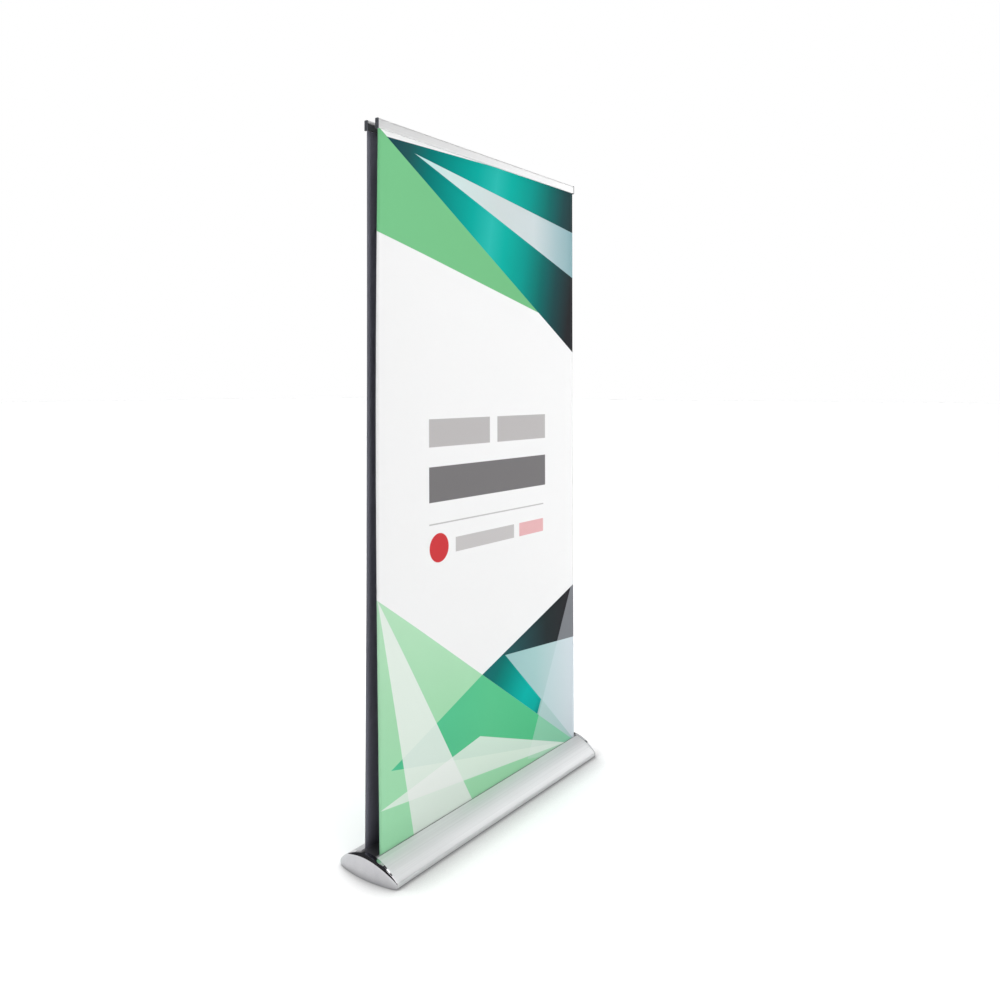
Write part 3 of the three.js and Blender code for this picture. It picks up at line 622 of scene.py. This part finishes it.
CAP_FACE_FOOT = 0.006  # height that stays put as the shoulder draws in
CAP_INSET = (0.12, 0.135)  # how far the face is drawn in from the rim, in depth and in height
CAP_BAND = 0.5  # share of the cap's reach before the shoulder starts
CAP_MIDDLE = 0.028
BAND_RINGS = (0.0, 0.03, 0.12, 0.25, 0.38, 0.47)  # shares of the reach
SHOULDER_STEPS = 13
FACE_RINGS = (0.985, 0.95, 0.85, 0.7, 0.5, 0.3, 0.12)  # scales of the face's outline


def end_cap(end):
    """A hollow chromed cap: a band that carries on from the covers, a round shoulder, a broad face."""
    facing = ENDS[end]

    def place(y, z, share, wall):
        reach = CAP_REACH - wall - CAP_BOW * (y / HALF_DEPTH) ** 2
        return np.stack([facing * (CAP_START + share * (reach - CAP_START)), y, z], 1)

    def ring(outline, share, inset, wall):
        y = outline[:, 0] * (1 - inset * CAP_INSET[0])
        z = CAP_FACE_FOOT + (outline[:, 1] - CAP_FACE_FOOT) * (1 - inset * CAP_INSET[1])
        return place(y, z, share, wall)

    def face_ring(outline, scale, wall):
        y = outline[:, 0] * (1 - CAP_INSET[0]) * scale
        z = CAP_FACE_FOOT + (outline[:, 1] - CAP_FACE_FOOT) * (1 - CAP_INSET[1])
        return place(y, CAP_MIDDLE + (z - CAP_MIDDLE) * scale, 1.0, wall)

    def skin(outline, wall):
        rings = [ring(outline, share, 0.0, wall) for share in BAND_RINGS]
        for angle in np.radians(np.linspace(0, 90, SHOULDER_STEPS)):
            reach = CAP_BAND + (1 - CAP_BAND) * math.sin(angle)
            rings.append(ring(outline, reach, 1 - math.cos(angle), wall))
        return rings + [face_ring(outline, scale, wall) for scale in FACE_RINGS]

    outer, inner = skin(rim(CAP_PROUD), 0.0), skin(rim(CAP_PROUD - CAP_WALL), CAP_WALL)
    rings = outer[::-1] + inner
    count = len(rings[0])
    centres = [place(np.zeros(1), np.full(1, CAP_MIDDLE), 1.0, wall) for wall in (0.0, CAP_WALL)]
    vertices = np.concatenate(rings + centres)
    first, last = len(vertices) - 2, len(vertices) - 1
    innermost = (len(rings) - 1) * count
    faces = []
    for i in range(count):
        j = (i + 1) % count
        faces.append((first, i, j))
        faces.append((last, innermost + j, innermost + i))
        for r in range(len(rings) - 1):
            a, b = r * count, (r + 1) * count
            faces.append((a + i, b + i, b + j, a + j))
    made = mesh_object(end + "_chrome_cap", vertices, faces, [CHROME])
    face_outward(made)
    on_rim = [abs(abs(v.co.x) - CAP_START) < 1e-6 for v in made.data.vertices]
    for edge in made.data.edges:
        edge.use_edge_sharp = all(on_rim[v] for v in edge.vertices)
    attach(made, "base")
    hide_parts(end + "_end_cap")


SPRING_FROM, SPRING_TO = 0.1755, 0.4595
SPRING_RADIUS, SPRING_WIRE, SPRING_TURNS = 0.0076, 0.0008, 78
STEPS_A_TURN, WIRE_SIDES = 14, 6


def torsion_spring(side):
    """The return spring inside a roller: an open-wound coil from the fixed shaft to the bush."""
    steps = SPRING_TURNS * STEPS_A_TURN
    t = np.linspace(0, 1, steps)
    angle = t * SPRING_TURNS * 2 * math.pi
    x = SPRING_FROM + SPRING_WIRE + t * (SPRING_TO - SPRING_FROM - 2 * SPRING_WIRE)
    outward = np.stack([np.zeros(steps), np.cos(angle), np.sin(angle)], 1)
    middle = np.stack([x, np.full(steps, SIDES[side] * ROLLER_Y), np.full(steps, ROLLER_Z)], 1)
    wire = middle + SPRING_RADIUS * outward
    sideways = np.array([1.0, 0.0, 0.0])
    vertices = np.concatenate([wire + SPRING_WIRE * (math.cos(a) * outward + math.sin(a) * sideways)
                               for a in np.arange(WIRE_SIDES) / WIRE_SIDES * 2 * math.pi])
    starts = [k * steps for k in range(WIRE_SIDES)]
    faces = []
    for a, b in zip(starts, starts[1:] + starts[:1]):
        faces += [(a + i, b + i, b + i + 1, a + i + 1) for i in range(steps - 1)]
    faces.append(starts[::-1])
    faces.append([start + steps - 1 for start in starts])
    made = mesh_object(side + "_coil_spring", vertices, faces, [SPRING_STEEL])
    face_outward(made)
    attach(made, "base")
    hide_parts(side + "_torsion_spring")


for side in SIDES:
    film(side)
    torsion_spring(side)
for end in ENDS:
    end_cap(end)


# ---------------------------------------------------------------- studio

CONTACT_REACH = 0.17  # how far from the base the painted contact shadow reaches
CONTACT_LEAN = (-0.25, 0.55, 1.0)  # the shade is deeper in front of the base and past its right end
CONTACT_SPAN = (0.40, 0.99)  # open shares of the sky between full darkness and none
FLOOR_GLOW = (0.045, 0.20)  # the paper's emission: an even glow in the open, and painted light close under the base
FLOOR_HALF = 80.0


def studio_floor():
    """White paper. A painted contact shadow darkens it softly where something stands close over it, and
    painted light lifts it close under the base.
    """
    paint = Paint("studio_floor", specular=0.0)
    cloud = paint.noise((0.6,) * 3, 3.0)
    paper = paint.mix(paint.spread(cloud, 0.0, 1.0), srgb(251, 251, 251), srgb(253, 253, 253))
    # painted contact shadow: how open the sky is near each point, by occlusion sampling that leans as
    # CONTACT_LEAN says
    near = paint.node("ShaderNodeAmbientOcclusion", samples=12)
    near.inputs["Distance"].default_value = CONTACT_REACH
    lean = paint.node("ShaderNodeCombineXYZ")
    for socket, share in zip(lean.inputs, Vector(CONTACT_LEAN).normalized()):
        socket.default_value = share
    paint.link(lean.outputs["Vector"], near.inputs["Normal"])
    open_share = paint.spread(near.outputs["AO"], 0.0, 1.0, *CONTACT_SPAN)
    # painted shadow: dark grey where the sky is shut in, the paper's white in the open
    paint.set("Base Color", paint.mix(open_share, srgb(88, 88, 90), paper))
    # painted light: the paper glows more the more it is shut in
    paint.set("Emission Strength", paint.math("MULTIPLY_ADD", open_share,
                                              FLOOR_GLOW[0] - FLOOR_GLOW[1], FLOOR_GLOW[1]))
    paint.set("Emission Color", srgb(252, 252, 252))
    paint.set("Roughness", paint.spread(cloud, 0.7, 0.8))
    corners = [(FLOOR_HALF * x, FLOOR_HALF * y, 0) for x, y in ((-1, -1), (1, -1), (1, 1), (-1, 1))]
    floor = mesh_object("studio_floor", corners, [(0, 1, 2, 3)], [paint.material], smooth=False)


WALL_TOWARDS = (0.80, 0.60)  # the white wall stands on this side of the room
WALL_EDGE = (0.58, 0.72)  # cosines of the angles off its middle between which the wall ends
WALL_TOP = (0.16, 0.34)  # sines of the elevations over which it gives way to the dark room
ROOM_LIGHT = (0.045, 0.045, 0.048, 1.0)
WALL_LIGHT = (0.5, 0.5, 0.5, 1.0)


def studio_world():
    """The room: seen directly it is plain white, and what it reflects is a white wall in a dim room."""
    world = bpy.data.worlds.new("studio")
    world.use_nodes = True
    tree = world.node_tree
    tree.nodes.clear()

    def node(kind, **settings):
        made = tree.nodes.new(kind)
        for key, value in settings.items():
            setattr(made, key, value)
        return made

    def step(value, span, to_min, to_max):
        made = node("ShaderNodeMapRange", interpolation_type="SMOOTHSTEP")
        tree.links.new(value, made.inputs["Value"])
        for socket, number in zip(("From Min", "From Max", "To Min", "To Max"), (*span, to_min, to_max)):
            made.inputs[socket].default_value = number
        return made.outputs["Result"]

    place = node("ShaderNodeTexCoord")
    split = node("ShaderNodeSeparateXYZ")
    tree.links.new(place.outputs["Generated"], split.inputs[0])
    towards = node("ShaderNodeVectorMath", operation="DOT_PRODUCT")
    tree.links.new(place.outputs["Generated"], towards.inputs[0])
    towards.inputs[1].default_value = (*WALL_TOWARDS, 0.0)
    both = node("ShaderNodeMath", operation="MULTIPLY")
    tree.links.new(step(split.outputs["Z"], WALL_TOP, 1.0, 0.0), both.inputs[0])
    tree.links.new(step(towards.outputs["Value"], WALL_EDGE, 0.0, 1.0), both.inputs[1])
    room = node("ShaderNodeMix", data_type="RGBA")
    tree.links.new(both.outputs[0], room.inputs[0])
    room.inputs[6].default_value = ROOM_LIGHT
    room.inputs[7].default_value = WALL_LIGHT
    path = node("ShaderNodeLightPath")
    seen = node("ShaderNodeMix", data_type="RGBA")
    tree.links.new(path.outputs["Is Camera Ray"], seen.inputs[0])
    tree.links.new(room.outputs[2], seen.inputs[6])
    seen.inputs[7].default_value = (1.0, 1.0, 1.0, 1.0)
    shade = node("ShaderNodeBackground")
    tree.links.new(seen.outputs[2], shade.inputs["Color"])
    output = node("ShaderNodeOutputWorld")
    tree.links.new(shade.outputs[0], output.inputs["Surface"])
    bpy.context.scene.world = world


def softbox(name, place, target, width, height, power, mirrored=True, diffuse=True):
    """A soft box. Glossy surfaces see it if it is mirrored, and matte ones if it is diffuse."""
    data = bpy.data.lights.new(name, "AREA")
    data.shape = "RECTANGLE"
    data.size, data.size_y, data.energy = width, height, power
    light = bpy.data.objects.new(name, data)
    light.visible_glossy, light.visible_diffuse = mirrored, diffuse
    light.location = place
    light.rotation_euler = (Vector(target) - Vector(place)).to_track_quat("-Z", "Y").to_euler()
    bpy.context.scene.collection.objects.link(light)


def overhead(name, towards, spread, strength):
    """A broad even light from above that leaves no highlight, its spread in degrees."""
    data = bpy.data.lights.new(name, "SUN")
    data.angle, data.energy = math.radians(spread), strength
    light = bpy.data.objects.new(name, data)
    light.rotation_euler = Vector(towards).to_track_quat("-Z", "Y").to_euler()
    light.visible_glossy = False
    bpy.context.scene.collection.objects.link(light)


studio_floor()
studio_world()
overhead("overhead_silk", (0.03, 0.02, -1.0), 60, 2.95)
softbox("front_box", (-0.9, -4.2, 2.2), (0.0, 0.0, 1.1), 3.0, 2.4, 34)
softbox("top_box", (-1.0, -1.9, 3.2), (-0.2, 0.0, 0.1), 1.1, 1.1, 8)
softbox("right_box", (2.9, -1.7, 1.9), (0.0, 0.0, 0.1), 2.6, 2.6, 34)
softbox("rear_box", (0.9, 4.2, 2.2), (0.0, 0.0, 1.1), 3.0, 2.4, 50, mirrored=False)
softbox("edge_strip", (1.25, -0.75, 2.2), (-0.52, -0.08, 0.04), 1.3, 0.2, 1.7, diffuse=False)
softbox("end_box", (2.92, 0.43, 1.80), (0.52, -0.04, 0.06), 1.2, 0.5, 1.7, diffuse=False)

EYE_PLACE = (-2.198, -1.690, 1.330)
EYE_TURN = math.radians(-53.5)
EYE_LENS = 31.28  # in millimetres, over a 36 mm sensor
EYE_SHIFT = -0.113  # the level view is cropped lower, so that uprights stay upright


def level_camera():
    """A level camera at eye height, off the stand's left end."""
    data = bpy.data.cameras.new("camera")
    data.sensor_width = 36.0
    data.lens = EYE_LENS
    data.shift_y = EYE_SHIFT
    data.clip_end = 200.0
    camera = bpy.data.objects.new("camera", data)
    camera.location = EYE_PLACE
    camera.rotation_euler = (math.radians(90), 0.0, EYE_TURN)
    bpy.context.scene.collection.objects.link(camera)
    bpy.context.scene.camera = camera


level_camera()
bpy.context.scene.view_settings.view_transform = "Standard"
